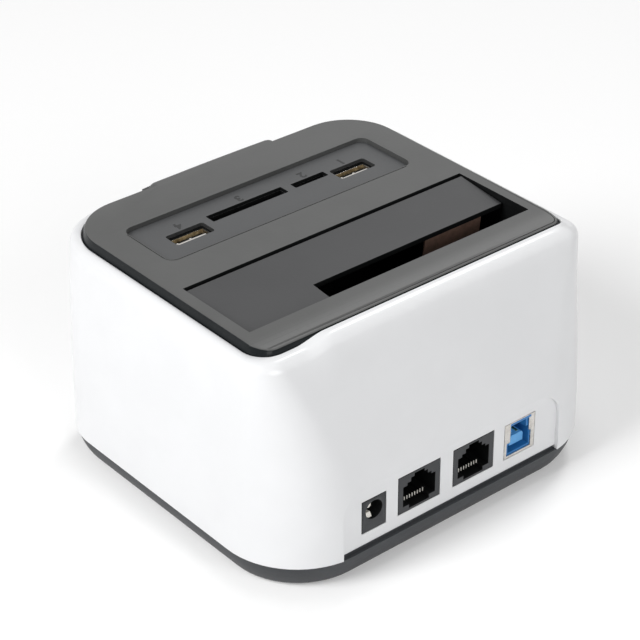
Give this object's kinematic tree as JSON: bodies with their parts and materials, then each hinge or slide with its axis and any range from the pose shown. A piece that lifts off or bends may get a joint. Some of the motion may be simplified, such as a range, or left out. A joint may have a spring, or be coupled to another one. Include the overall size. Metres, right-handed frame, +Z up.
{
  "type": "hard drive docking station",
  "caption": "Upright dock for bare drives: a rounded white body, a dark cover with a sprung flap over the drive slot, a card panel and a rear port panel.",
  "frame": {"origin": "on the surface under the feet, below the middle of the whole body", "axes": "+Z up, +Y towards the rear port panel, +X towards the power jack's side"},
  "size_m": [0.1296, 0.1186, 0.0764],
  "materials": {
    "shell_white": "glossy white moulding",
    "cover_grey": "satin dark grey",
    "base_grey": "fine matt dark grey",
    "fascia_black": "gloss black",
    "button_black": "gloss black",
    "flap_grey": "satin dark grey",
    "inner_black": "matt black",
    "port_plastic": "matt dark grey",
    "clear_plastic": "clear moulding",
    "lamp_white": "matt",
    "bronze": "rolled phosphor bronze",
    "steel": "plain",
    "nickel": "nickel plated",
    "gold": "gold flashed",
    "insert_blue": "moulded blue",
    "board_green": "solder resist",
    "chip_black": "moulded package",
    "aluminium": "plain",
    "ribbon_white": "plain",
    "rubber": "soft"
  },
  "bodies": {
    "housing": {"outer_shell": "shell_white", "base_tray": "base_grey", "top_cover": "cover_grey", "card_panel": "cover_grey", "front_fascia": "fascia_black", "light_pipes": "clear_plastic", "drive_bay": "inner_black", "flap_hinge_pin": "steel", "flap_spring": "steel", "button_switches": "inner_black", "front_board": "board_green", "status_lamps": "lamp_white", "main_board": "board_green", "board_chips": "chip_black", "heat_sink": "aluminium", "capacitors": "aluminium", "dc_jack": "port_plastic", "dc_jack_pin": "nickel", "dc_jack_contact": "nickel", "network_jack_1": "port_plastic", "network_jack_2": "port_plastic", "network_contacts": "gold", "usb_b_shell": "nickel", "usb_b_insert": "insert_blue", "usb_b_contacts": "gold", "card_board": "board_green", "usb_a_shell_1": "nickel", "usb_a_shell_2": "nickel", "usb_a_tongue_1": "inner_black", "usb_a_tongue_2": "inner_black", "usb_a_contacts": "gold", "card_socket": "inner_black", "micro_card_socket": "inner_black", "sata_connector": "port_plastic", "sata_contacts": "gold", "ribbon_cable": "ribbon_white", "ribbon_sockets": "ribbon_white", "case_screws": "steel", "main_board_screws": "steel", "bay_screws": "steel", "card_board_screws": "steel", "front_board_screws": "steel", "rubber_feet": "rubber"},
    "flap": {"drive_flap": "flap_grey", "pressure_leaf": "bronze"},
    "power_key": {"power_button": "button_black"},
    "backup_key": {"backup_button": "button_black"}
  },
  "joints": [
    {"name": "flap_hinge", "type": "hinge", "parent": "housing", "child": "flap", "pos_m": [0, 0.0012, 0.0734], "axis": [-1, 0, 0], "range_deg": [0, 80], "stiffness_Nm_per_rad": 0.008, "springref_deg": -20.05, "deforming": ["flap_spring"]},
    {"name": "power_press", "type": "slide", "parent": "housing", "child": "power_key", "axis": [0, 1, 0], "range_m": [0, 0.0008], "stiffness_N_per_m": 300, "springref_m": -0.0012},
    {"name": "backup_press", "type": "slide", "parent": "housing", "child": "backup_key", "axis": [0, 1, 0], "range_m": [0, 0.0008], "stiffness_N_per_m": 300, "springref_m": -0.0012}
  ]
}
